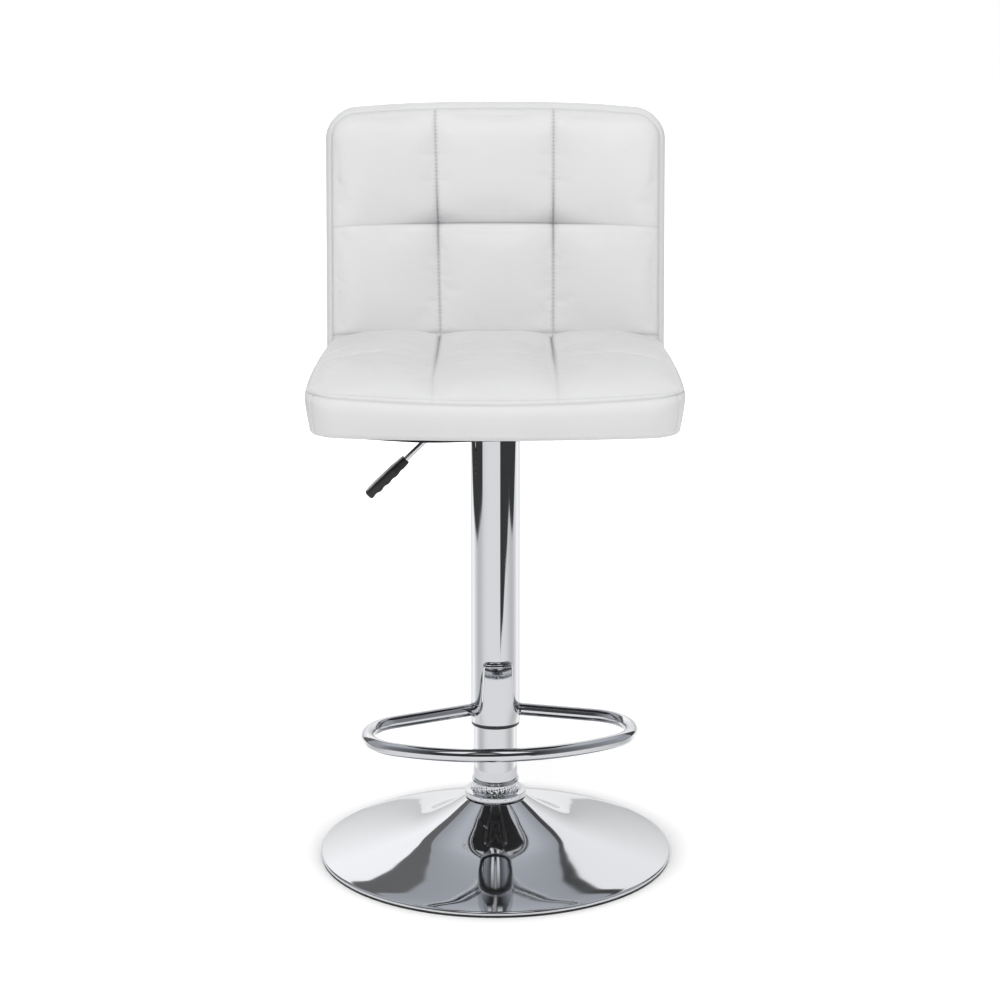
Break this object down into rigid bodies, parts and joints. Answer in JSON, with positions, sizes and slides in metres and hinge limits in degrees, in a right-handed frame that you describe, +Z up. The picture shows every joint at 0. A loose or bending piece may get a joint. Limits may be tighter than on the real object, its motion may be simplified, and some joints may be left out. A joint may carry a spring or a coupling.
{
  "type": "adjustable swivel stool",
  "caption": "Bar stool with a tufted seat and low back on a chromed gas-lift column, a hoop footrest and a round trumpet foot; swivels, and a lever sets its height.",
  "frame": {"origin": "on the floor, on the column's axis, at the middle of the round foot", "axes": "+Z up along the column; the sitter faces -Y; the release lever is on the -X side"},
  "size_m": [0.39, 0.4411, 0.8183],
  "materials": {
    "chrome": "polished",
    "leatherette": "satin",
    "black_steel": "satin",
    "steel": "satin",
    "black_plastic": "matte",
    "pale_plastic": "matte",
    "rubber": "matte",
    "brass": "satin",
    "plywood": "matte",
    "dust_cloth": "matte"
  },
  "bodies": {
    "base": {"base_shell": "chrome", "base_disc": "black_steel", "floor_ring": "rubber", "hub_socket": "steel", "neck_bell": "chrome", "stand_tube": "chrome", "guide_sleeve": "pale_plastic", "lower_race": "steel"},
    "cage": {"ball_cage": "brass", "bearing_balls": "steel"},
    "rod": {"piston_rod": "steel", "gas_piston": "steel", "upper_race": "steel", "bump_stop": "rubber", "rod_clip": "steel"},
    "seat": {"gas_cylinder": "black_steel", "rod_seal": "brass", "cover_tube": "chrome", "tube_cap": "black_plastic", "glide_bush": "black_plastic", "footrest_collar": "chrome", "footrest_hoop": "chrome", "seat_plate": "black_steel", "taper_socket": "steel", "lever_bracket": "black_steel", "lever_pin": "steel", "plate_bolts": "steel", "tee_nuts": "steel", "seat_board": "plywood", "dust_cover": "dust_cloth", "seat_cushion": "leatherette", "back_board": "plywood", "back_cushion": "leatherette", "back_panel": "leatherette", "back_brackets": "black_steel", "bracket_screws": "steel"},
    "lever": {"lever_rod": "chrome", "lever_grip": "black_plastic"},
    "valve": {"release_pin": "steel"}
  },
  "joints": [
    {"name": "swivel", "type": "hinge", "parent": "base", "child": "rod", "pos_m": [0, 0, 0], "axis": [0, 0, 1], "continuous": true},
    {"name": "cage_spin", "type": "hinge", "parent": "base", "child": "cage", "pos_m": [0, 0, 0], "axis": [0, 0, 1], "continuous": true},
    {"name": "lift", "type": "slide", "parent": "rod", "child": "seat", "axis": [0, 0, 1], "range_m": [0, 0.21]},
    {"name": "lever_pull", "type": "hinge", "parent": "seat", "child": "lever", "pos_m": [-0.025, 0, 0.5], "axis": [0, 1, 0], "range_deg": [0, 8], "stiffness_Nm_per_rad": 0.6},
    {"name": "valve_press", "type": "slide", "parent": "seat", "child": "valve", "axis": [0, 0, -1], "range_m": [0, 0.004]}
  ],
  "couplings": [
    {"joint": "cage_spin", "follows": "swivel", "ratio": 0.5},
    {"joint": "valve_press", "follows": "lever_pull", "m_per_rad": 0.0245}
  ]
}
